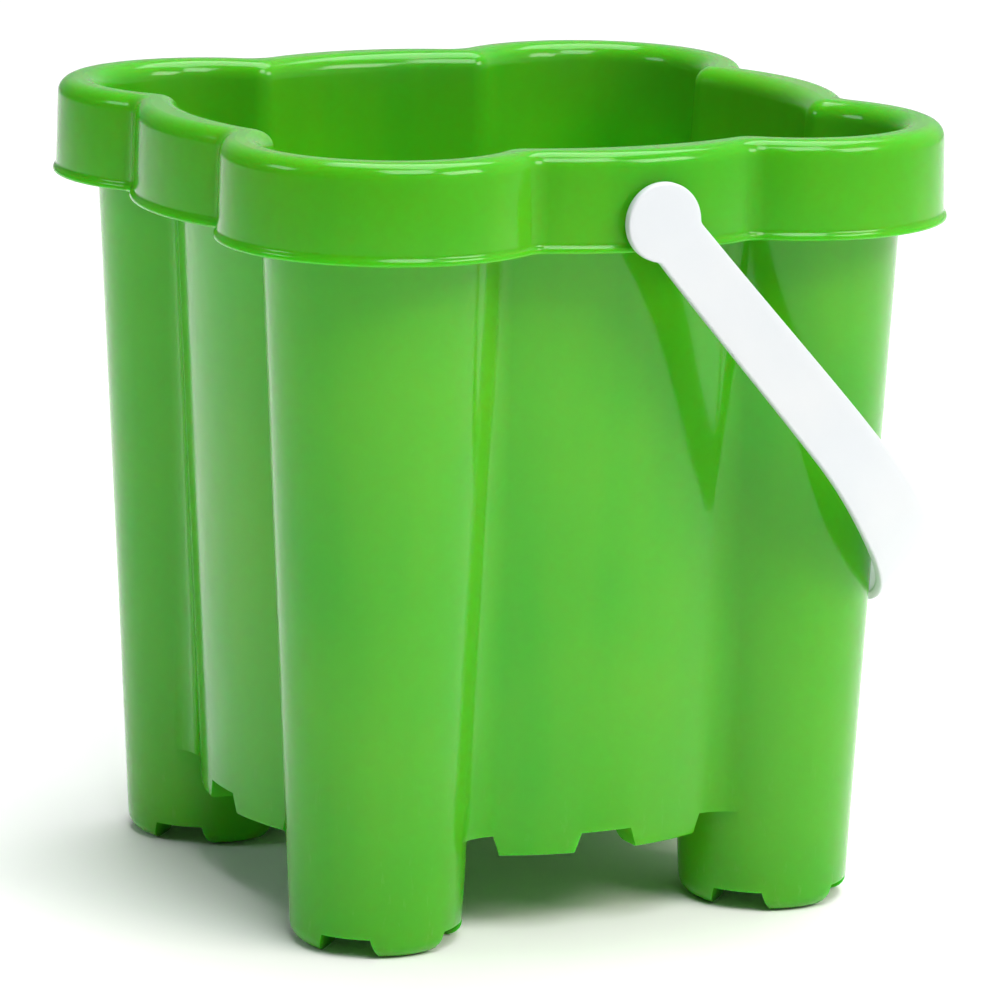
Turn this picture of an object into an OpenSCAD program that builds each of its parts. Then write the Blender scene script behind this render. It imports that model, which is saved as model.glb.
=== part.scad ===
// Castle sand bucket: four hollow corner towers joined by bowed walls, a turned-down rim
// and a swinging bail handle. The inside is the mould for a sand castle with battlements.
// Millimetres, Z up. The origin is on the ground, on the bucket's vertical axis.

/* [Bucket body] */
// Height from the ground to the top of the rim
height = 188.4; // [180:0.2:196]
// Distance of each tower's axis from both middle planes
tower_offset = 51; // [49:0.5:53]
// Radius of a tower at ground level
tower_r = 20; // [19:0.1:21]
// Distance of each bowed wall's centre of curvature from the bucket's axis
bow_offset = 2; // [1:0.5:3]
// Radius of a bowed wall, carried down to ground level
bow_r = 65.8; // [65:0.1:66.5]
// Growth of every radius per millimetre of height
draft = 0.049; // [0.045:0.001:0.049]
// Radius of the hollow blend between tower and wall, carried down to ground level
blend_r = 12.5; // [12.5:0.5:13]
// Wall thickness
wall = 1.8; // [1.6:0.1:2.2]
// Height of the underside of the floor between the towers
floor_z = 24.9; // [24.5:0.2:28.1]

/* [Rim] */
// Height of the rim's skirt, from its lower lip to the top
skirt_h = 22.8; // [20:0.2:24]
// Radius of the rim round each tower
rim_tower_r = 37.9; // [37:0.1:38.5]
// Distance of each bowed rim stretch's centre of curvature from the bucket's axis
rim_bow_offset = 27; // [26:0.5:28]
// Radius of a bowed rim stretch
rim_bow_r = 60.4; // [59.5:0.1:61]
// Radius of the hollow blend between the rim's lobes
rim_blend_r = 6; // [5.5:0.5:8]
// Radius of the rim's outer top edge
rim_edge_r = 3.8; // [3:0.2:4.4]
// Radius of the rim's inner top edge
inner_edge_r = 4; // [3:0.2:4]
// How far the lower lip stands out from the skirt
lip_out = 1.2; // [0.6:0.1:1.6]

/* [Battlements] */
// Depth of the notches under the towers and the walls
notch_depth = 5; // [4:0.2:6]
// Width of the tower notches at their ceiling
notch_w = 12; // [10:0.5:14]
// How much each side of a notch slopes outward over its depth
notch_slope = 1.4; // [0.6:0.1:1.8]
// Radius of the tower's lower edge
foot_edge_r = 4.4; // [2.5:0.1:4.5]
// Distance of each wall tooth's middle from the middle of its side
tooth_x = 16.7; // [16:0.1:18]
// Width of a wall tooth at its root
tooth_w = 21.4; // [18:0.2:22]
// How much each side of a wall tooth slopes inward over its height
tooth_slope = 2.1; // [1:0.1:2.4]
// Thickness of a wall tooth, inward from the wall's face
tooth_t = 10; // [8:0.5:11]
// How much a wall tooth's tower side turns inward per millimetre of its thickness
tooth_wedge = 0.6; // [0.2:0.1:0.7]

/* [Handle] */
// Height of the handle's hinge line
pivot_z = 172.6; // [171:0.2:175]
// Diameter of a hinge peg
peg_d = 8; // [6:0.5:9]
// Gap between a peg and its hole, on the radius
peg_fit = 0.06; // [0.03:0.01:0.1]
// Diameter of the eye at each end of the handle
eye_d = 18.4; // [17:0.2:20]
// Distance of the handle's outer faces from the middle plane
handle_half = 93.7; // [93.6:0.1:94.5]
// Angle at which each arm closes in from the corner to its eye
arm_tilt = 2.4; // [1.8:0.1:2.4]
// Thickness of the strap
strap_t = 2.4; // [2:0.1:2.4]
// Width of the strap next to the eye
strap_w = 13.2; // [12:0.2:14]
// Width of the strap along the grip
grip_w = 17.2; // [15:0.2:17.4]
// Reach of the handle from the hinge line to the outside of the grip
reach = 132.4; // [132.4:0.2:136]
// Outer radius of the corner between arm and grip
corner_r = 63.5; // [57:0.5:63.5]
// Angle of the hanging handle below the horizontal
hang_angle = 49.2; // [46:0.1:49.2]

/* [Hidden] */
$fn = 96;
over = 1;
edge_steps = 5;
// Tangent faces bite this much into each other, so that they cross cleanly
bite = 0.04;
lip_z = height - skirt_h;
rim_roof = 2.4;
lip_h = 1.2;
lip_blend_h = 1.8;
skirt_inner_y = rim_bow_offset + rim_bow_r - wall;
arm_w = strap_w + 1.9;
arm_end = reach - corner_r;
// Each arm's eye is flat over this much of the arm
eye_flat = 10;
peg_head_d = peg_d + 2.4;
peg_head_t = 1.6;
peg_head_gap = 0.5;
peg_head_y = skirt_inner_y - peg_head_gap;

// Points of a round edge, from angle a0 to a1 about [x, z]
function edge_arc(x, z, r, a0, a1) =
    [for (i = [0:edge_steps]) let (a = a0 + (a1 - a0) * i / edge_steps) [x + r * cos(a), z + r * sin(a)]];

// Where two circles cross, on the side away from the bucket's axis
function crossing(p, rp, q, rq) =
    let (d = norm(q - p), u = (q - p) / d, a = (rp * rp - rq * rq + d * d) / (2 * d))
    p + a * u + sqrt(rp * rp - a * a) * [-u[1], u[0]];

// How far an arm's face stands inside the corner's at the eye, from the corner's radius there
function splay(r) = r * (1 - cos(arm_tilt)) + (arm_end - r * sin(arm_tilt) - eye_flat) * tan(arm_tilt);

// A turned solid whose radius is base plus the first number of each point [gain, z]
module turned(base, gains) {
    rotate_extrude()
        polygon(concat(
            [[0, gains[0][1]]],
            [for (g = gains) [base + g[0], g[1]]],
            [[0, gains[len(gains) - 1][1]]]));
}

// The solid of the hollow blend between the tower at [off, off] and the wall centred at [0, bow_off]
module blend(off, tr, bow_off, br, r, gains) {
    tower = [off, off];
    bow = [0, bow_off];
    centre = crossing(bow, br + r, tower, tr + r);
    bottom = gains[0][1];
    top = gains[len(gains) - 1][1];
    difference() {
        translate([0, 0, bottom])
            linear_extrude(top - bottom)
                polygon([tower, centre, bow]);
        translate([centre[0], centre[1], 0])
            turned(r + bite, concat(
                [[-gains[0][0], bottom - over]],
                [for (g = gains) [-g[0], g[1]]],
                [[-gains[len(gains) - 1][0], top + over]]));
    }
}

// Four towers, four bowed walls and eight blends, on circles grown by the gains
module lobed(off, tr, bow_off, br, r, tower_gains, wall_gains) {
    for (side = [0:3])
        rotate([0, 0, 90 * side]) {
            translate([off, off, 0])
                turned(tr, tower_gains);
            translate([0, bow_off, 0])
                turned(br, wall_gains);
            for (hand = [0, 1])
                mirror([hand, 0, 0])
                    blend(off, tr, bow_off, br, r, wall_gains);
        }
}

// The body's outside, below the rim's roof
module body_outside() {
    top = [draft * (height - over), height - over];
    lobed(tower_offset, tower_r, bow_offset, bow_r, blend_r,
        concat(edge_arc(-foot_edge_r, foot_edge_r, foot_edge_r, -90, 0), [top]),
        [[draft * floor_z, floor_z], top]);
}

// The sand's space, which opens out over the rim's inner edge
module body_inside() {
    edge_z = height - inner_edge_r;
    small_r = foot_edge_r - wall;
    mouth = concat(
        [for (p = edge_arc(inner_edge_r, 0, inner_edge_r, 180, 90)) [p[0] + draft * edge_z, p[1] + edge_z]],
        [[inner_edge_r + draft * edge_z, height + over]]);
    lobed(tower_offset, tower_r - wall, bow_offset, bow_r - wall, blend_r + wall,
        concat(edge_arc(-small_r, wall + small_r, small_r, -90, 0), mouth),
        concat([[draft * (floor_z + wall), floor_z + wall]], mouth));
}

// The rim's outside, or with an inset the space under its roof
module rim(inset) {
    edge_r = rim_edge_r - inset;
    roof = inset > 0 ? height - rim_roof : height;
    foot = inset > 0 ? lip_z - over : lip_z;
    gains = concat(
        [[lip_out - inset, foot],
         [lip_out - inset, lip_z + lip_h],
         [lip_out / 3 - inset, lip_z + lip_h + lip_blend_h]],
        edge_arc(-rim_edge_r, roof - edge_r, edge_r, 0, 90));
    lobed(tower_offset, rim_tower_r, rim_bow_offset, rim_bow_r, rim_blend_r, gains, gains);
}

// The crossed notches under each tower, grown by the wall for the inside
module tower_notches(grow) {
    half = notch_w / 2 + grow;
    ceiling = notch_depth + grow;
    fall = ceiling + over;
    spread = notch_slope * fall / notch_depth;
    length = 2 * (tower_r + wall + over);
    for (sx = [-1, 1], sy = [-1, 1], turn = [45, -45])
        translate([sx * tower_offset, sy * tower_offset, 0])
            rotate([0, 0, turn])
                rotate([90, 0, 0])
                    translate([0, 0, -length / 2])
                        linear_extrude(length)
                            polygon([
                                [-half, ceiling],
                                [-half - spread, ceiling - fall],
                                [half + spread, ceiling - fall],
                                [half, ceiling]]);
}

// The teeth under the walls, shrunk by the wall for the sand's space
module teeth(shrink) {
    tip_z = floor_z - notch_depth + shrink;
    top_z = floor_z + wall + (shrink > 0 ? over : 0);
    half = tooth_w / 2 - shrink;
    tip_half = half - tooth_slope;
    out_x = tooth_x + half;
    corner_y = bow_offset + sqrt(bow_r * bow_r - pow(tooth_x + tooth_w / 2, 2));
    for (side = [0:3], hand = [0, 1])
        rotate([0, 0, 90 * side])
            mirror([hand, 0, 0])
                intersection() {
                    translate([0, bow_offset, 0])
                        difference() {
                            turned(bow_r - shrink, [[draft * tip_z, tip_z], [draft * top_z, top_z]]);
                            translate([0, 0, tip_z - over])
                                cylinder(h = notch_depth + 4 * over + wall, r = bow_r - tooth_t + shrink);
                        }
                    translate([tooth_x, bow_offset + bow_r + over + draft * height, 0])
                        rotate([90, 0, 0])
                            linear_extrude(bow_r)
                                polygon([
                                    [-tip_half, tip_z],
                                    [tip_half, tip_z],
                                    [half, top_z],
                                    [-half, top_z]]);
                    linear_extrude(top_z + over)
                        polygon([
                            [0, corner_y - 2 * tooth_t],
                            [out_x - 2 * tooth_t * tooth_wedge, corner_y - 2 * tooth_t],
                            [out_x + tooth_t * tooth_wedge, corner_y + tooth_t],
                            [0, corner_y + tooth_t]]);
                }
}

// A cylinder along Y between two distances from the middle plane, at the hinge line
module hinge_cylinder(side, d, near, far) {
    translate([0, side * near, pivot_z])
        rotate([-90 * side, 0, 0])
            cylinder(h = far - near, d = d);
}

module bucket() {
    color([0.42, 0.71, 0.2])
        difference() {
            union() {
                difference() {
                    rim(0);
                    rim(wall);
                }
                difference() {
                    body_outside();
                    tower_notches(0);
                }
                teeth(0);
            }
            difference() {
                body_inside();
                tower_notches(wall);
            }
            teeth(wall);
            for (side = [-1, 1])
                hinge_cylinder(side, peg_d + 2 * peg_fit, skirt_inner_y - over, handle_half);
        }
}

// The strap's run from eye to eye, seen along the hanging handle's face, or with an inset its inside
module strap_run(inset) {
    r = corner_r - inset;
    across = 2 * handle_half;
    start = -eye_d - inset;
    turn_x = arm_end - r * sin(arm_tilt);
    turn_y = r * (1 - cos(arm_tilt)) + inset + bite;
    eye_y = splay(r) + inset + bite;
    polygon([
        [start, eye_y], [eye_flat, eye_y], [turn_x, turn_y], [arm_end, handle_half],
        [turn_x, across - turn_y], [eye_flat, across - eye_y], [start, across - eye_y]]);
    translate([arm_end - corner_r / 2, corner_r])
        square([r + corner_r / 2, across - 2 * corner_r]);
    for (y = [corner_r, across - corner_r])
        translate([arm_end, y])
            circle(r);
}

// The strap's face: a round eye and a narrow arm that widens to the grip
module strap_face() {
    circle(d = eye_d);
    polygon([
        [0, -strap_w / 2],
        [arm_end, -arm_w / 2],
        [arm_end + corner_r / 2, -grip_w / 2],
        [reach + over, -grip_w / 2],
        [reach + over, grip_w / 2],
        [arm_end + corner_r / 2, grip_w / 2],
        [arm_end, arm_w / 2],
        [0, strap_w / 2]]);
}

module handle() {
    eye_middle_y = handle_half - splay(corner_r) - strap_t / 2;
    color([0.95, 0.96, 0.97]) {
        translate([0, 0, pivot_z])
            rotate([0, hang_angle, 0])
                intersection() {
                    translate([0, -handle_half, -eye_d])
                        linear_extrude(2 * eye_d)
                            difference() {
                                strap_run(0);
                                strap_run(strap_t);
                            }
                    translate([0, handle_half + over, 0])
                        rotate([90, 0, 0])
                            linear_extrude(2 * (handle_half + over))
                                strap_face();
                }
        for (side = [-1, 1]) {
            hinge_cylinder(side, peg_d, peg_head_y, eye_middle_y);
            hinge_cylinder(side, peg_head_d, peg_head_y - peg_head_t, peg_head_y);
        }
    }
}

bucket();
handle();
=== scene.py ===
import math

import bmesh
import bpy
from mathutils import Matrix, Vector


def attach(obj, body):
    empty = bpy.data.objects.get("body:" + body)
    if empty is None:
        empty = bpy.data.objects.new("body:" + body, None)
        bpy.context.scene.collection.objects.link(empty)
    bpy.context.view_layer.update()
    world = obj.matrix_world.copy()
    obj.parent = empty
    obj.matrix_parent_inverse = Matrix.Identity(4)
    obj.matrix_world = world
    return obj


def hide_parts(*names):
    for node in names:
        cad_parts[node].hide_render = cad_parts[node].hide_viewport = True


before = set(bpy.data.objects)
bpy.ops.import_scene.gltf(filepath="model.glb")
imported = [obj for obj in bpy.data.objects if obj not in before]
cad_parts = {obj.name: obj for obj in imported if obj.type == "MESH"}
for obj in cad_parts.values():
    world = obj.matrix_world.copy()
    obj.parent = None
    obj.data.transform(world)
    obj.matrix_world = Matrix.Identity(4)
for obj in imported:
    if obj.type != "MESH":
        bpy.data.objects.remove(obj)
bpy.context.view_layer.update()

# Sizes in millimetres, degrees where a name says so; Z is up and the origin is on the ground.
MM = 0.001
HEIGHT = 188.4
WALL = 1.8

# Body: four towers joined by bowed walls, with a hollow blend on each side of every tower
TOWER_OFF = 51.0
TOWER_R, TOWER_DRAFT = 20.0, 0.049
BOW_OFF = 2.0
BOW_R, BOW_DRAFT = 65.8, 0.049
BLEND_R, BLEND_DRAFT = 12.5, 0.049
FLOOR_Z = 24.9
WALL_LEVELS = (62.0, 104.0, 146.0)

# Rim: a turned-down skirt with a lip
RIM_TOWER_R = 37.9
RIM_BOW_OFF, RIM_BOW_R = 27.0, 60.4
RIM_BLEND_R = 6.0
RIM_EDGE_R = 3.8
MOUTH_EDGE_R = 4.6
MOUTH_BLEND_R = 4.2
LIP_Z, LIP_OUT, LIP_H = 165.6, 1.17, 1.5
LIP_EDGE_R, LIP_TURN = 0.45, 0.74
SKIRT_LEAN = 0.4
SKIRT_FOOT_Z = 168.6
ROOF_Z = 186.0

# Battlements: crossed grooves under the towers and two teeth under each wall
GROOVE_CEILING, GROOVE_HALF, GROOVE_SLOPE = 5.0, 6.0, 1.4
TOE_R, HEEL_R, HEEL_AT = 4.4, 3.2, 11.7
LEG_LEVELS = (18.5, 11.5)
TOOTH_TIP_Z = 20.0
TOOTH_IN, TOOTH_OUT = 6.4, 27.0
TOOTH_SLOPE = 1.7
TOOTH_DEPTH = 10.0
TOOTH_WEDGE = 0.6
TOOTH_EDGE_R, TOOTH_HEEL_R = 0.6, 4.0
TOOTH_POCKET_SHARPER = 6

# Handle: a strap with an eye at each end, hinged on pegs through the skirt
PIVOT_Z = 172.6
HANG_DEG = 49.2
HANDLE_HALF, REACH, CORNER_R = 93.7, 132.4, 63.5
SPLAY, SPLAY_FROM = 2.3, 10.0
STRAP_T, STRAP_EDGE_R = 2.4, 0.5
ARM_HALF, ARM_FLARE, GRIP_HALF = 6.6, 0.95, 8.6
GRIP_FROM = 0.53
EYE_R, EYE_FILLET_R, EYE_FILLET_GAP = 9.15, 2.2, 0.06
PEG_R, HOLE_R = 4.0, 4.06
HOLE_FROM_Y, HOLE_TO_Y = 80, 92
PEG_HEAD_R, PEG_HEAD_Y, PEG_HEAD_T, PEG_HEAD_EDGE = 5.2, 85.1, 1.6, 0.8

# Steps along each stretch of the outline, between its key places
TOWER_STEPS = (3, 14, 9, 14, 3)
INNER_STEPS = (5, 14, 9, 14, 5)
BOW_STEPS = (8, 6, 8)
BLEND_STEPS = (3, 9)
EDGE_STEPS, SMALL_EDGE_STEPS = 6, 3
HEEL_STEPS = 4
ROOF_EDGE_STEPS = 4
SHOULDER_STEPS = 4
LATHE_STEPS = 64
STRAP_STEPS, STRAP_ACROSS = (12, 34, 8), 8
EYE_STEPS, EYE_FILLET_STEPS = 26, 5

# Points closer than MERGE become one, and angles are compared to within SLIVER. Edges over
# SHARP_DEG stay sharp, and so do those of level faces; battlement edges are worn to EDGE_WEAR_R
MERGE = 0.004
SLIVER = 1e-6
BISECTIONS = 40
SHARP_DEG = 32
LEVEL_FACE = 0.9999
EDGE_WEAR_R = 0.35
WORN_BELOW, WORN_FROM_AXIS = FLOOR_Z + WALL + 0.1, 14.5

# Camera: it fits the bucket's edges
CAMERA_AT = (-0.5641, -1.1902, 0.3825)
CAMERA_YAW, CAMERA_PITCH, CAMERA_ROLL = 25.50, 12.527, 1.034
CAMERA_LENS, CAMERA_SENSOR = 200.4, 36
CAMERA_FAR = 50

# Colours, linear
GREEN_DEEP, GREEN_BRIGHT = (0.050, 0.350, 0.008), (0.090, 0.375, 0.007)
GREEN_FLOW, GREEN_SCUFF = (0.112, 0.395, 0.010), (0.24, 0.47, 0.11)
WHITE_COOL, WHITE_WARM = (0.57, 0.60, 0.63), (0.60, 0.62, 0.64)
WHITE_SCUFF = (0.56, 0.58, 0.60)

# Studio: the world rises between two X directions from one strength to another. The soft boxes,
# in metres and watts, are (name, place, target, width and height, power, colour)
WORLD_FALL = (-0.5, 0.7, 0.06, 0.60)
FLOOR_HALF = 6.0
LIGHTS = (
    ("key", (0.9, -1.3, 1.3), (0, 0, 0.1), (0.9, 0.62), 18, (1.0, 0.95, 0.87)),
    ("left", (-1.5, 0.4, 1.0), (0, 0, 0.12), (0.6, 0.4), 4, (0.88, 1.0, 1.0)),
    ("front", (-0.1, -1.5, 2.4), (0, 0.1, 0.1), (1.2, 1.2), 38, (1, 1, 1)),
    ("top", (0.5, 0.5, 2.6), (0.1, 0.1, 0), (2.0, 2.0), 66, (1, 1, 1)),
)


def spread(keys, counts):
    """Values from the first key to the last, with so many equal steps between neighbours."""
    values = [keys[0]]
    for low, high, count in zip(keys, keys[1:], counts):
        values += [low + (high - low) * (i + 1) / count for i in range(count)]
    return values


def level(z, points):
    """Points of the plan, raised to a height."""
    return [(x, y, z) for x, y in points]


def quarter(count):
    """Sine and cosine of equal steps over a quarter turn, both ends included."""
    return [(math.sin(a), math.cos(a)) for a in spread([0, math.pi / 2], [count])]


class Plan:
    """The outline at one level. One side runs from the ++ tower over the +Y wall to the -+ tower."""

    def __init__(self, tower_off, tower_r, bow_off, bow_r, blend_r):
        self.off, self.tower_r = tower_off, tower_r
        self.bow_off, self.bow_r, self.blend_r = bow_off, bow_r, blend_r
        rise = tower_off - bow_off
        apart = math.hypot(tower_off, rise)
        ux, uy = tower_off / apart, rise / apart
        far, near = bow_r + blend_r, tower_r + blend_r
        along = (far * far - near * near + apart * apart) / (2 * apart)
        aside = math.sqrt(far * far - along * along)
        self.bx, self.by = along * ux - aside * uy, bow_off + along * uy + aside * ux
        self.bow_end = math.atan2(self.bx, self.by - bow_off)
        self.tower_end = math.atan2(self.by - tower_off, self.bx - tower_off)
        self.tower_start = math.pi / 2 - self.tower_end

    def on_tower(self, angle, radius=None):
        r = self.tower_r if radius is None else radius
        return self.off + r * math.cos(angle), self.off + r * math.sin(angle)

    def on_bow(self, angle):
        return self.bow_r * math.sin(angle), self.bow_off + self.bow_r * math.cos(angle)

    def on_blend(self, t):
        start, end = self.tower_end + math.pi, 1.5 * math.pi - self.bow_end
        a = start + t * (end - start)
        return self.bx + self.blend_r * math.cos(a), self.by + self.blend_r * math.sin(a)

    def wall_y(self, x):
        """How far out the wall's face is, at a distance from the side's middle."""
        if x <= self.bow_r * math.sin(self.bow_end):
            return self.bow_off + math.sqrt(self.bow_r ** 2 - x * x)
        return self.by - math.sqrt(self.blend_r ** 2 - (x - self.bx) ** 2)

    def bow_angle(self, x):
        return math.asin(x / self.bow_r)

    def blend_share(self, x):
        """Where the blend reaches a distance from the side's middle, from 0 at the tower to 1."""
        start, end = self.tower_end + math.pi, 1.5 * math.pi - self.bow_end
        a = 2 * math.pi - math.acos((x - self.bx) / self.blend_r)
        return (a - start) / (end - start)


def body_plan(z, grow=0.0):
    return Plan(
        TOWER_OFF, TOWER_R + TOWER_DRAFT * z + grow,
        BOW_OFF, BOW_R + BOW_DRAFT * z + grow,
        max(BLEND_R - BLEND_DRAFT * z - grow, MOUTH_BLEND_R),
    )


def rim_plan(grow):
    return Plan(TOWER_OFF, RIM_TOWER_R + grow, RIM_BOW_OFF, RIM_BOW_R + grow, RIM_BLEND_R - grow)


class Columns:
    """Where the mesh's columns stand round one side, as shares of each stretch of the outline."""

    def __init__(self, plan, merlon, tooth_in, tooth_out):
        start, end = plan.tower_start, plan.tower_end
        right = math.pi / 2
        outer = [start, -merlon, merlon, right - merlon, right + merlon, end]
        self.tower = spread([(a - start) / (end - start) for a in outer], TOWER_STEPS)
        inner = [end, 2 * right - merlon, 2 * right + merlon,
                 3 * right - merlon, 3 * right + merlon, start + 4 * right]
        self.inner_angles = spread(inner, INNER_STEPS)
        share = plan.blend_share(tooth_out)
        self.blend = spread([0, share, 1], BLEND_STEPS[::-1])
        key = plan.bow_angle(tooth_in) / plan.bow_end
        self.bow = spread([1, key, -key, -1], BOW_STEPS)
        self.tooth_from = sum(TOWER_STEPS) + BLEND_STEPS[1]
        self.tooth_to = sum(TOWER_STEPS) + sum(BLEND_STEPS) + BOW_STEPS[0]

    def ring(self, plan):
        """One side's outline, with its first and last points both on a tower."""
        start, end = plan.tower_start, plan.tower_end
        points = [plan.on_tower(start + t * (end - start)) for t in self.tower]
        blend = [plan.on_blend(t) for t in self.blend]
        points += blend[1:]
        points += [plan.on_bow(t * plan.bow_end) for t in self.bow[1:]]
        points += [(-x, y) for x, y in reversed(blend[:-1])]
        return points


class Skin:
    """A closed skin, put together from patches that meet edge to edge."""

    def __init__(self):
        self.mesh = bmesh.new()

    def face(self, points):
        kept = [p for i, p in enumerate(points) if math.dist(p, points[i - 1]) > MERGE]
        if len(kept) > 2:
            self.mesh.faces.new([self.mesh.verts.new(p) for p in kept])

    def strip(self, rows):
        for low, high in zip(rows, rows[1:]):
            for i in range(len(low) - 1):
                self.face([low[i], low[i + 1], high[i + 1], high[i]])

    def fan_out(self, turns):
        """Repeats everything about the Z axis, a quarter turn each time."""
        kept = list(self.mesh.faces)
        for turn in range(1, turns):
            made = bmesh.ops.duplicate(self.mesh, geom=kept)["geom"]
            verts = [g for g in made if isinstance(g, bmesh.types.BMVert)]
            bmesh.ops.rotate(self.mesh, verts=verts, cent=(0, 0, 0),
                             matrix=Matrix.Rotation(turn * math.pi / 2, 3, "Z"))

    def close(self):
        bmesh.ops.remove_doubles(self.mesh, verts=self.mesh.verts, dist=MERGE)
        bmesh.ops.recalc_face_normals(self.mesh, faces=self.mesh.faces)


def groove_half(z, ceiling, half):
    return half + GROOVE_SLOPE * (ceiling - z) / GROOVE_CEILING


def merlon_angle(radius, gap):
    """Half the angle that a merlon takes up, seen from its tower's axis."""
    return math.pi / 4 - math.asin(gap / radius)


class Battlement:
    """The lower end of one tower, outside or inside: a tube, crossed grooves and four merlons."""

    def __init__(self, columns, plan, top, inset):
        self.columns, self.plan, self.top, self.inset = columns, plan, top, inset
        self.ceiling = GROOVE_CEILING + inset
        self.bottom = inset
        self.half = GROOVE_HALF + inset
        self.toe = TOE_R - inset

    def radius(self, z):
        return TOWER_R + TOWER_DRAFT * z - self.inset

    def gap(self, z):
        return groove_half(z, self.ceiling, self.half)

    def angles(self):
        start, end = self.plan.tower_start, self.plan.tower_end
        outer = [start + t * (end - start) for t in self.columns.tower]
        return outer + self.columns.inner_angles[1:]

    def place(self, turn, along, aside, z):
        """A point from its distances along and across a merlon's own direction."""
        c, s = math.cos(turn), math.sin(turn)
        return (TOWER_OFF + along * c - aside * s, TOWER_OFF + along * s + aside * c, z)

    def tube(self, skin, levels):
        heights = [self.top, *levels, self.ceiling]
        skin.strip([level(z, [self.plan.on_tower(a, self.radius(z)) for a in self.angles()])
                    for z in heights])

    def ceiling_face(self, skin):
        """The flat cross between the merlons."""
        angles = self.angles()
        m = merlon_angle(self.radius(self.ceiling), self.half)
        corner = self.half * math.sqrt(2)
        outline = []
        for i in range(4):
            turn = i * math.pi / 2
            outline.append(self.place(turn, corner, 0, self.ceiling))
            low, high = turn + m, turn + math.pi / 2 - m
            for a in sorted((b - low + SLIVER) % (2 * math.pi) - SLIVER for b in angles[:-1]):
                if a < high - low + SLIVER:
                    x, y = self.plan.on_tower(low + a, self.radius(self.ceiling))
                    outline.append((x, y, self.ceiling))
        skin.face(outline)

    def side_rows(self, turn, shares):
        """Rows of a merlon's round face, from the ceiling down over the toe."""
        shoulder = self.bottom + self.toe
        rim = self.radius(shoulder) - self.toe
        profile = [(self.ceiling, self.radius(self.ceiling))]
        profile += [(shoulder - self.toe * s, rim + self.toe * c) for s, c in quarter(EDGE_STEPS)]
        rows = []
        for z, r in profile:
            m = merlon_angle(r, self.gap(z))
            rows.append([self.place(turn, r * math.cos(t * m), r * math.sin(t * m), z)
                         for t in shares])
        return rows

    def heel_rows(self, turn, shares, edge):
        """Rows of the underside, from the toe's edge inward and up round the heel."""
        def half_width(along, z):
            return along - math.sqrt(2) * self.gap(z)

        def heel_z(along):
            return HEEL_R - math.sqrt(HEEL_R ** 2 - (HEEL_AT - along) ** 2)

        low, high = HEEL_AT - HEEL_R, HEEL_AT
        for _ in range(BISECTIONS):
            middle = (low + high) / 2
            low, high = (middle, high) if half_width(middle, heel_z(middle)) < 0 else (low, middle)
        tip = (low + high) / 2
        flat = [self.place(turn, HEEL_AT, t * half_width(HEEL_AT, 0), 0) for t in shares]
        between = [tuple((a + b) / 2 for a, b in zip(p, q)) for p, q in zip(edge, flat)]
        rows = [edge, between, flat]
        for i in range(1, HEEL_STEPS):
            along = HEEL_AT + (tip - HEEL_AT) * i / HEEL_STEPS
            z = heel_z(along)
            rows.append([self.place(turn, along, t * half_width(along, z), z) for t in shares])
        rows.append([self.place(turn, tip, 0, heel_z(tip))] * len(shares))
        return rows

    def merlon(self, skin, turn):
        count = TOWER_STEPS[1]
        shares = [2 * i / count - 1 for i in range(count + 1)]
        rows = self.side_rows(turn, shares)
        if self.inset:
            corner = self.place(turn, math.sqrt(2) * self.gap(self.bottom), 0, self.bottom)
            skin.face(rows[-1] + [corner])
            ends = [[corner], [corner]]
        else:
            heel = self.heel_rows(turn, shares, rows[-1])
            skin.strip(heel)
            ends = [[r[0] for r in heel[1:]], [r[-1] for r in heel[1:]]]
        skin.strip(rows)
        top = self.place(turn, self.half * math.sqrt(2), 0, self.ceiling)
        skin.face([top] + [r[0] for r in rows] + ends[0])
        skin.face([top] + [r[-1] for r in rows] + ends[1])

    def build(self, skin, levels):
        self.tube(skin, levels)
        self.ceiling_face(skin)
        for i in range(4):
            self.merlon(skin, i * math.pi / 2)


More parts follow.
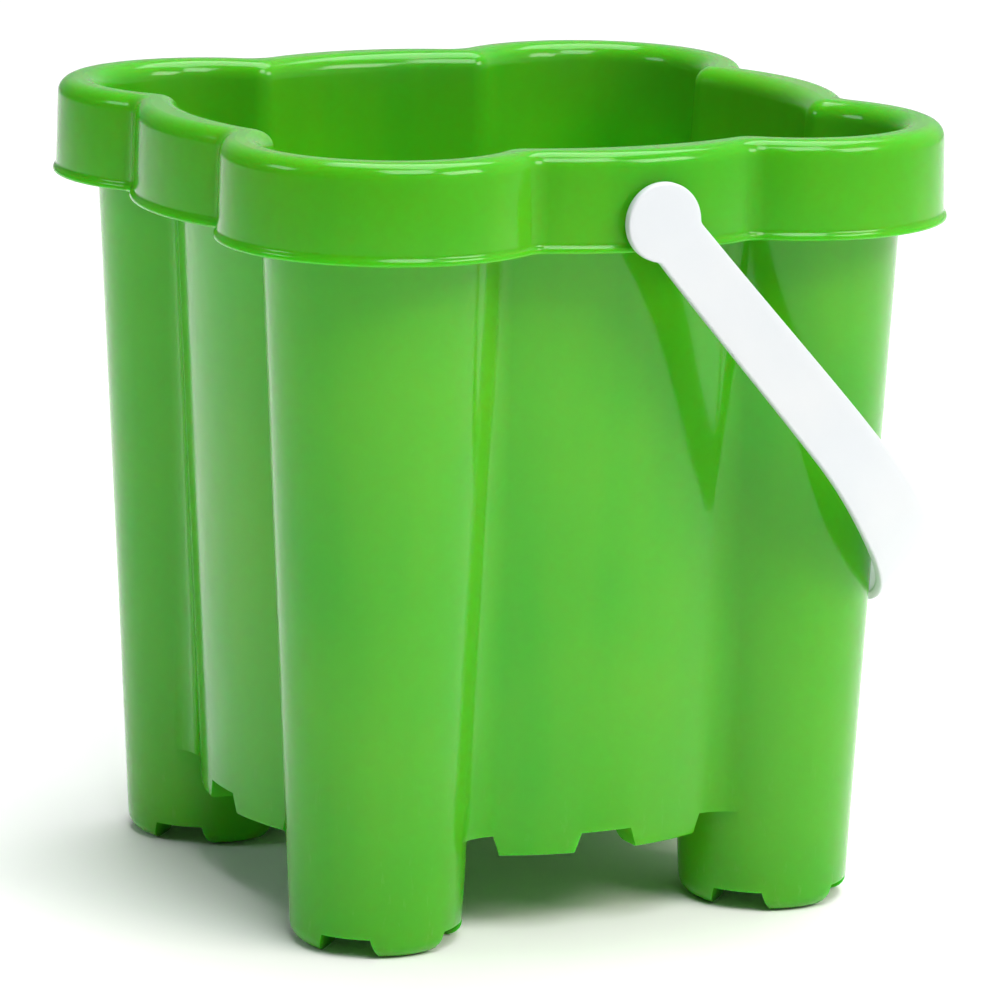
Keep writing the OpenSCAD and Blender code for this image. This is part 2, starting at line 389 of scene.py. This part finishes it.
class Tooth:
    """A tooth under the wall, or with an inset the pocket inside it, on the right of a side."""

    def __init__(self, ring, columns, root_z, inset):
        self.root = ring[columns.tooth_from:columns.tooth_to + 1]
        self.root_z, self.inset = root_z, inset
        self.tip_z = TOOTH_TIP_Z + inset
        self.back_r = BOW_R + BOW_DRAFT * FLOOR_Z - TOOTH_DEPTH + inset
        self.out, self.within = self.root[0][0], self.root[-1][0]

    def narrowed(self, x, z):
        fall = TOOTH_SLOPE * (self.root_z - z) / (self.root_z - self.tip_z)
        t = (x - self.within) / (self.out - self.within)
        return self.within + fall + t * (self.out - self.within - 2 * fall)

    def back_y(self, x):
        return BOW_OFF + math.sqrt(self.back_r ** 2 - x * x)

    def wedged(self, x, y, z):
        """A point of the tooth's back, drawn in from the tower as the tooth narrows inward."""
        t = (x - self.within) / (self.out - self.within)
        front = body_plan(z, -self.inset).wall_y(x)
        return x - t * TOOTH_WEDGE * (front - y), y

    def front_rows(self):
        """Heights and set-backs of the front face and its rounded lower edge."""
        edge = TOOTH_EDGE_R - self.inset / TOOTH_POCKET_SHARPER
        rows = [(self.root_z, 0.0), ((self.root_z + self.tip_z) / 2, 0.0)]
        rows += [(self.tip_z + edge * (1 - s), edge * (1 - c)) for s, c in quarter(SMALL_EDGE_STEPS)]
        return rows

    def back_rows(self):
        """Heights and stand-offs of the rounded heel and the back face."""
        heel = TOOTH_HEEL_R - self.inset
        rows = [(self.tip_z + heel * (1 - c), heel * (1 - s)) for s, c in quarter(EDGE_STEPS)]
        return rows + [(self.root_z, 0.0)]

    def profile(self, x):
        """One column of the tooth, from the wall's edge round the tip to the floor."""
        points = []
        for z, back in self.front_rows():
            at = self.narrowed(x, z)
            points.append((at, body_plan(z, -self.inset).wall_y(at) - back, z))
        for z, off in self.back_rows():
            at = self.narrowed(x, z)
            points.append((*self.wedged(at, self.back_y(at) + off, z), z))
        return points

    def build(self, skin):
        columns = [self.profile(x) for x, _ in self.root]
        for i, (x, y) in enumerate(self.root):
            columns[i][0] = (x, y, self.root_z)
        for mirror in (1, -1):
            mirrored = [[(mirror * x, y, z) for x, y, z in column] for column in columns]
            skin.strip(mirrored)
            skin.face(mirrored[0])
            skin.face(mirrored[-1])

    def detour(self):
        """The floor's outline round the back of the tooth, from the outer side to the inner."""
        return [self.wedged(x, self.back_y(x), self.root_z) for x, _ in self.root]


def floor_outline(ring, columns, plan, tooth):
    """One side of a floor's edge: round the tower, then along the wall and behind its teeth."""
    outline = [plan.on_tower(a) for a in reversed(columns.inner_angles)]
    start = sum(TOWER_STEPS) + 1
    outline += ring[start:columns.tooth_from + 1] + tooth.detour()
    last = len(ring) - 1
    mirror_to = sum(TOWER_STEPS) + last - columns.tooth_to
    mirror_from = sum(TOWER_STEPS) + last - columns.tooth_from
    outline += ring[columns.tooth_to:mirror_to + 1]
    outline += [(-x, y) for x, y in reversed(tooth.detour())]
    outline += ring[mirror_from:last]
    return outline


def turned(points, turn):
    c, s = round(math.cos(turn * math.pi / 2)), round(math.sin(turn * math.pi / 2))
    return [(x * c - y * s, x * s + y * c) for x, y in points]


def skirt_rows():
    """Growth and height of the rim's inner face, lip, outer face and rounded top, in that order."""
    under = RIM_EDGE_R - WALL
    rows = [(c * under - RIM_EDGE_R, ROOF_Z - under + s * under)
            for s, c in reversed(quarter(ROOF_EDGE_STEPS))]
    thin = LIP_OUT - WALL
    rows += [(SKIRT_LEAN - WALL, SKIRT_FOOT_Z), (thin, LIP_Z + LIP_H)]
    small = LIP_EDGE_R
    corner = quarter(SMALL_EDGE_STEPS)
    rows += [(thin + small * (1 - c), LIP_Z + small * (1 - s)) for s, c in corner]
    rows += [(LIP_OUT - small * (1 - s), LIP_Z + small * (1 - c)) for s, c in corner]
    round_r = (LIP_OUT - SKIRT_LEAN) / 2 / (1 - math.cos(LIP_TURN))
    turns = spread([0, LIP_TURN], [SHOULDER_STEPS])
    shoulder = [(round_r * (1 - math.cos(a)), round_r * math.sin(a)) for a in turns]
    rows += [(LIP_OUT - d, LIP_Z + LIP_H - shoulder[-1][1] + h) for d, h in shoulder]
    rows += [(SKIRT_LEAN + d, LIP_Z + LIP_H + shoulder[-1][1] - h) for d, h in shoulder[-2::-1]]
    top = HEIGHT - RIM_EDGE_R
    rows += [(RIM_EDGE_R * (c - 1), top + RIM_EDGE_R * s) for s, c in quarter(EDGE_STEPS)]
    return rows


def shell_rings(outer, inner):
    """All rings of the wall, from its lower edge up, over the rim and down to the inner floor."""
    rows = [level(z, outer.ring(body_plan(z))) for z in (FLOOR_Z, *WALL_LEVELS, ROOF_Z)]
    rows += [level(z, outer.ring(rim_plan(grow))) for grow, z in skirt_rows()]
    edge_z = HEIGHT - MOUTH_EDGE_R
    for s, c in reversed(quarter(EDGE_STEPS)):
        plan = body_plan(edge_z, MOUTH_EDGE_R * (1 - c) - WALL)
        rows.append(level(edge_z + MOUTH_EDGE_R * s, inner.ring(plan)))
    rows += [level(z, inner.ring(body_plan(z, -WALL))) for z in (*WALL_LEVELS[::-1], FLOOR_Z + WALL)]
    return rows


def bucket_skin():
    skin = Skin()
    made = []
    for inset, root_z in ((0.0, FLOOR_Z), (WALL, FLOOR_Z + WALL)):
        plan = body_plan(root_z, -inset)
        ceiling = GROOVE_CEILING + inset
        merlon = merlon_angle(TOWER_R + TOWER_DRAFT * ceiling - inset, GROOVE_HALF + inset)
        columns = Columns(plan, merlon, TOOTH_IN + inset, TOOTH_OUT - inset)
        ring = columns.ring(plan)
        tooth = Tooth(ring, columns, root_z, inset)
        tooth.build(skin)
        Battlement(columns, plan, root_z, inset).build(skin, LEG_LEVELS)
        made.append((columns, plan, ring, tooth, root_z))
    skin.strip(shell_rings(made[0][0], made[1][0]))
    skin.fan_out(4)
    for columns, plan, ring, tooth, root_z in made:
        side = floor_outline(ring, columns, plan, tooth)
        skin.face(level(root_z, [p for turn in range(4) for p in turned(side, turn)]))
    skin.close()
    return skin.mesh


def mark_worn_edges(mesh):
    """The crisp edges of the battlements and floors get a small rounding."""
    weight = mesh.edges.layers.float.new("bevel_weight_edge")
    for edge in mesh.edges:
        middle = (edge.verts[0].co + edge.verts[1].co) / 2
        if middle.z > WORN_BELOW or len(edge.link_faces) != 2:
            continue
        axis = math.hypot(abs(middle.x) - TOWER_OFF, abs(middle.y) - TOWER_OFF)
        if edge.calc_face_angle(0) > math.radians(SHARP_DEG) and axis > WORN_FROM_AXIS:
            edge[weight] = 1


def mesh_object(name, mesh, material):
    data = bpy.data.meshes.new(name)
    mesh.transform(Matrix.Scale(MM, 4))
    mesh.to_mesh(data)
    mesh.free()
    piece = bpy.data.objects.new(name, data)
    bpy.context.scene.collection.objects.link(piece)
    data.materials.append(material)
    return piece


def settle(piece):
    """Applies a piece's modifiers, and shades it smooth but for sharp edges and level faces."""
    view = bpy.context.evaluated_depsgraph_get()
    data = bpy.data.meshes.new_from_object(piece.evaluated_get(view))
    piece.modifiers.clear()
    piece.data = data
    data.shade_smooth()
    data.set_sharp_from_angle(angle=math.radians(SHARP_DEG))
    for face in data.polygons:
        face.use_smooth = abs(face.normal.z) < LEVEL_FACE


def add_boolean(piece, operation, other):
    step = piece.modifiers.new(operation, "BOOLEAN")
    step.operation, step.object, step.solver = operation, other, "EXACT"


def lathe(profile, side):
    """A closed solid turned about the hinge line, from (radius, distance from the middle) points."""
    skin = Skin()
    rows = []
    for radius, out in profile:
        rows.append([(radius * math.cos(a), side * out, PIVOT_Z + radius * math.sin(a))
                     for a in spread([0, 2 * math.pi], [LATHE_STEPS])])
    skin.strip(rows)
    skin.close()
    return skin.mesh


def build_bucket(material):
    mesh = bucket_skin()
    mark_worn_edges(mesh)
    piece = mesh_object("bucket_shell", mesh, material)
    for side in (-1, 1):
        profile = [(0, HOLE_FROM_Y), (HOLE_R, HOLE_FROM_Y), (HOLE_R, HOLE_TO_Y), (0, HOLE_TO_Y)]
        hole = lathe(profile, side)
        cutter = mesh_object(f"hole_{side}", hole, material)
        add_boolean(piece, "DIFFERENCE", cutter)
        cutter.hide_render = True
    worn = piece.modifiers.new("worn", "BEVEL")
    worn.limit_method, worn.width, worn.segments = "WEIGHT", EDGE_WEAR_R * MM, 2
    worn.use_clamp_overlap = True
    settle(piece)
    for side in (-1, 1):
        bpy.data.objects.remove(bpy.data.objects[f"hole_{side}"])
    return piece


def strap_half_width(s):
    """Half the strap's width at a distance along it from the hinge."""
    corner = REACH - CORNER_R
    if s < corner:
        return ARM_HALF + ARM_FLARE * s / corner
    t = min(1.0, (s - corner) / (CORNER_R * GRIP_FROM))
    low = ARM_HALF + ARM_FLARE
    return low + (GRIP_HALF - low) * t * t * (3 - 2 * t)


def strap_outline():
    """One edge of the strap laid flat, as (distance along, half width), from an eye to the middle."""
    reach = EYE_R + EYE_FILLET_R
    fillet_v = ARM_HALF + EYE_FILLET_R + EYE_FILLET_GAP
    fillet_s = math.sqrt(reach ** 2 - fillet_v ** 2)
    meet = math.atan2(fillet_v, fillet_s)
    points = [(EYE_R * math.cos(a), EYE_R * math.sin(a)) for a in spread([math.pi, meet], [EYE_STEPS])]
    points += [(fillet_s + EYE_FILLET_R * math.cos(a), fillet_v + EYE_FILLET_R * math.sin(a))
               for a in spread([meet - math.pi, -math.pi / 2], [EYE_FILLET_STEPS])[1:]]
    straight = REACH - CORNER_R
    bend = (CORNER_R - STRAP_T / 2) * math.pi / 2
    middle = straight + bend + HANDLE_HALF - CORNER_R
    runs = spread([fillet_s, straight, straight + bend, middle], STRAP_STEPS)[1:]
    return points + [(s, strap_half_width(s)) for s in runs]


def edge_normals(points):
    """Unit normals of the flat outline, pointing out of the strap."""
    normals = []
    for i, _ in enumerate(points):
        a, b = points[max(i - 1, 0)], points[min(i + 1, len(points) - 1)]
        ds, dv = b[0] - a[0], b[1] - a[1]
        size = math.hypot(ds, dv)
        normals.append((-dv / size, ds / size))
    normals[0], normals[-1] = (-1.0, 0.0), (0.0, 1.0)
    return normals


def arm_set_back(s):
    """How far an arm stands inside the handle's full width; it is the most at the eye."""
    t = min(1.0, max(0.0, (s - SPLAY_FROM) / (REACH - CORNER_R - SPLAY_FROM)))
    return SPLAY * (1 + math.cos(math.pi * t)) / 2


def strap_point(s, v, n):
    """A point of the flat strap, bent along the handle: s along, v across, n out of its middle."""
    straight = REACH - CORNER_R
    radius = CORNER_R - STRAP_T / 2
    turn = (s - straight) / radius
    if turn <= 0:
        along, out = s, HANDLE_HALF - STRAP_T / 2 + n - arm_set_back(s)
    elif turn <= math.pi / 2:
        along = straight + (radius + n) * math.sin(turn)
        out = HANDLE_HALF - CORNER_R + (radius + n) * math.cos(turn)
    else:
        along = straight + radius + n
        out = HANDLE_HALF - CORNER_R - (s - straight - radius * math.pi / 2)
    hang = math.radians(HANG_DEG)
    return (along * math.cos(hang) + v * math.sin(hang), out,
            PIVOT_Z - along * math.sin(hang) + v * math.cos(hang))


def points_across(start, end):
    """The points across the strap from one edge to the other, without the two ends."""
    return [tuple(a + (b - a) * i / STRAP_ACROSS for a, b in zip(start, end))
            for i in range(1, STRAP_ACROSS)]


def strap_loop(point, normal):
    """One closed section of the strap: outer face, edge, inner face, edge."""
    half, small = STRAP_T / 2, STRAP_EDGE_R
    edge = [(small * (1 - s), half - small * (1 - c)) for s, c in quarter(SMALL_EDGE_STEPS)]
    edge += [(d, -n) for d, n in reversed(edge)]
    right = [(point[0] - d * normal[0], point[1] - d * normal[1], n) for d, n in edge]
    left = [(s, -v, n) for s, v, n in reversed(right)]
    top = points_across(left[-1], right[0])
    low = points_across(right[-1], left[0])
    loop = right + low + left + top
    return [strap_point(*p) for p in loop + loop[:1]]


def strap_mesh():
    skin = Skin()
    points = strap_outline()
    rows = [strap_loop(p, n) for p, n in zip(points, edge_normals(points))]
    skin.strip(rows)
    skin.strip([[(x, -y, z) for x, y, z in row] for row in rows])
    skin.close()
    return skin.mesh


def peg_profile():
    """The peg and its snap head, as (radius, distance from the middle)."""
    inside = HANDLE_HALF - SPLAY - STRAP_T / 2
    head = PEG_HEAD_R - PEG_HEAD_EDGE
    tip = PEG_HEAD_Y - PEG_HEAD_T
    profile = [(0, inside), (PEG_R, inside), (PEG_R, PEG_HEAD_Y), (PEG_HEAD_R, PEG_HEAD_Y)]
    profile += [(PEG_HEAD_R, tip + PEG_HEAD_EDGE), (head, tip), (0, tip)]
    return profile


def build_handle(material):
    piece = mesh_object("handle_strap", strap_mesh(), material)
    for side in (-1, 1):
        peg = mesh_object(f"peg_{side}", lathe(peg_profile(), side), material)
        add_boolean(piece, "UNION", peg)
        peg.hide_render = True
    settle(piece)
    for side in (-1, 1):
        bpy.data.objects.remove(bpy.data.objects[f"peg_{side}"])
    return piece


class Finish:
    """A material in the making: a Principled shader and the nodes that feed it."""

    def __init__(self, name):
        self.material = bpy.data.materials.new(name)
        self.material.use_nodes = True
        self.nodes = self.material.node_tree.nodes
        self.links = self.material.node_tree.links
        self.shader = self.nodes["Principled BSDF"]
        self.place = self.nodes.new("ShaderNodeTexCoord").outputs["Object"]

    def node(self, kind, inputs, **settings):
        made = self.nodes.new(kind)
        for key, value in settings.items():
            setattr(made, key, value)
        for key, value in inputs.items():
            self.feed(made.inputs[key], value)
        return made

    def feed(self, socket, value):
        if isinstance(value, bpy.types.NodeSocket):
            self.links.new(value, socket)
        else:
            socket.default_value = value

    def noise(self, scale, detail=2.0, stretch=(1, 1, 1), roughness=0.5):
        at = self.node("ShaderNodeMapping", {"Vector": self.place, "Scale": stretch})
        made = self.node("ShaderNodeTexNoise", {
            "Vector": at.outputs["Vector"], "Scale": scale, "Detail": detail, "Roughness": roughness})
        return made.outputs["Fac"]

    def remap(self, value, low, high, to_low=0.0, to_high=1.0):
        made = self.node("ShaderNodeMapRange", {
            "Value": value, "From Min": low, "From Max": high, "To Min": to_low, "To Max": to_high})
        return made.outputs["Result"]

    def math(self, operation, a, b):
        return self.node("ShaderNodeMath", {0: a, 1: b}, operation=operation).outputs[0]

    def mix(self, share, a, b):
        made = self.node("ShaderNodeMix", {"Factor": share, 6: (*a, 1) if isinstance(a, tuple) else a,
                                           7: (*b, 1)}, data_type="RGBA")
        return made.outputs[2]

    def height(self):
        split = self.node("ShaderNodeSeparateXYZ", {"Vector": self.place})
        return split.outputs["Z"]

    def bump(self, layers):
        """Bumps on top of each other, from (height, strength, depth in metres)."""
        normal = None
        for height, strength, depth in layers:
            inputs = {"Height": height, "Strength": strength, "Distance": depth}
            if normal:
                inputs["Normal"] = normal
            normal = self.node("ShaderNodeBump", inputs).outputs["Normal"]
        self.feed(self.shader.inputs["Normal"], normal)

    def set(self, **inputs):
        for key, value in inputs.items():
            self.feed(self.shader.inputs[key.replace("_", " ")], value)


def green_plastic():
    """Glossy moulded polypropylene, a little translucent, with a skin of fine ripples and scuffs."""
    f = Finish("bucket_green")
    clouds = f.remap(f.noise(14, 3), 0.35, 0.65)
    flow = f.remap(f.noise(60, 2, (1, 1, 0.12)), 0.4, 0.6)
    grain = f.noise(900, 2)
    low = f.remap(f.height(), 0.045, 0.0)
    scratch = f.remap(f.noise(420, 4, (1, 1, 0.25), 0.7), 0.60, 0.68)
    scuff = f.math("MULTIPLY", scratch, f.remap(low, 0, 1, 0.05, 0.6))
    color = f.mix(f.math("MULTIPLY", clouds, 0.7), GREEN_DEEP, GREEN_BRIGHT)
    color = f.mix(f.math("MULTIPLY", flow, 0.22), color, GREEN_FLOW)
    color = f.mix(f.math("MULTIPLY", scuff, 0.25), color, GREEN_SCUFF)
    gloss = f.remap(f.noise(35, 3), 0.3, 0.7, 0.10, 0.16)
    gloss = f.math("ADD", gloss, f.math("MULTIPLY", scuff, 0.18))
    ripple = f.noise(75, 1, (1, 1, 0.5))
    f.bump([(ripple, 0.20, 0.0006), (grain, 0.12, 0.00008), (scratch, 0.10, 0.00005)])
    f.set(Base_Color=color, Roughness=gloss, IOR=1.49, Specular_IOR_Level=0.30,
          Subsurface_Weight=0.8, Subsurface_Radius=(0.03, 1.0, 0.25), Subsurface_Scale=0.007)
    return f.material


def white_plastic():
    """Satin moulded polypropylene with a faint flow pattern and fine scratches."""
    f = Finish("handle_white")
    clouds = f.remap(f.noise(30, 3), 0.35, 0.65)
    scratch = f.remap(f.noise(500, 4, (1, 0.3, 1), 0.7), 0.60, 0.70)
    color = f.mix(clouds, WHITE_COOL, WHITE_WARM)
    color = f.mix(f.math("MULTIPLY", scratch, 0.12), color, WHITE_SCUFF)
    gloss = f.remap(f.noise(60, 3), 0.3, 0.7, 0.34, 0.44)
    gloss = f.math("ADD", gloss, f.math("MULTIPLY", scratch, 0.1))
    f.bump([(f.noise(110, 1), 0.12, 0.0005), (f.noise(1100, 2), 0.12, 0.00006)])
    f.set(Base_Color=color, Roughness=gloss, IOR=1.49, Subsurface_Weight=0.15,
          Subsurface_Radius=(1.0, 1.0, 1.0), Subsurface_Scale=0.003)
    return f.material


def studio_paper():
    """The pale floor: matt paper with a barely seen grain."""
    f = Finish("floor_paper")
    color = f.mix(f.noise(25, 4), (0.94, 0.94, 0.94), (0.97, 0.97, 0.97))
    f.bump([(f.noise(700, 3), 0.1, 0.0002)])
    f.set(Base_Color=color, Roughness=f.remap(f.noise(40, 2), 0.3, 0.7, 0.75, 0.85))
    return f.material


def build_camera():
    yaw, pitch, roll = (math.radians(a) for a in (CAMERA_YAW, CAMERA_PITCH, CAMERA_ROLL))
    forward = Vector((math.sin(yaw) * math.cos(pitch), math.cos(yaw) * math.cos(pitch), -math.sin(pitch)))
    right = Vector((math.cos(yaw), -math.sin(yaw), 0))
    up = right.cross(forward)
    turned_right = math.cos(roll) * right + math.sin(roll) * up
    turned_up = -math.sin(roll) * right + math.cos(roll) * up
    camera = bpy.data.objects.new("camera", bpy.data.cameras.new("camera"))
    bpy.context.scene.collection.objects.link(camera)
    camera.data.lens, camera.data.sensor_width = CAMERA_LENS, CAMERA_SENSOR
    camera.data.clip_end = CAMERA_FAR
    turn = Matrix((turned_right, turned_up, -forward)).transposed()
    camera.matrix_world = Matrix.Translation(CAMERA_AT) @ turn.to_4x4()
    bpy.context.scene.camera = camera


def area_light(name, place, target, size, power, color):
    light = bpy.data.objects.new(name, bpy.data.lights.new(name, "AREA"))
    bpy.context.scene.collection.objects.link(light)
    light.data.shape, light.data.size, light.data.size_y = "RECTANGLE", size[0], size[1]
    light.data.energy, light.data.color = power, color
    light.location = place
    light.rotation_euler = (Vector(target) - Vector(place)).to_track_quat("-Z", "Y").to_euler()


def build_world():
    """Even studio light that is weaker from the left."""
    world = bpy.data.worlds.new("studio")
    world.use_nodes = True
    nodes, links = world.node_tree.nodes, world.node_tree.links
    place = nodes.new("ShaderNodeTexCoord")
    split = nodes.new("ShaderNodeSeparateXYZ")
    share = nodes.new("ShaderNodeMapRange")
    links.new(place.outputs["Generated"], split.inputs[0])
    links.new(split.outputs["X"], share.inputs["Value"])
    for key, value in zip(("From Min", "From Max", "To Min", "To Max"), WORLD_FALL):
        share.inputs[key].default_value = value
    links.new(share.outputs["Result"], nodes["Background"].inputs["Strength"])
    nodes["Background"].inputs["Color"].default_value = (1, 1, 1, 1)
    bpy.context.scene.world = world


def build_stage():
    build_world()
    bpy.context.scene.view_settings.view_transform = "Standard"
    for light in LIGHTS:
        area_light(*light)
    mesh = bmesh.new()
    bmesh.ops.create_grid(mesh, x_segments=8, y_segments=8, size=FLOOR_HALF / MM)
    mesh_object("floor", mesh, studio_paper())


build_camera()
build_stage()
bucket = build_bucket(green_plastic())
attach(bucket, "bucket")
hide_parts("bucket")
handle = build_handle(white_plastic())
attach(handle, "handle")
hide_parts("handle")
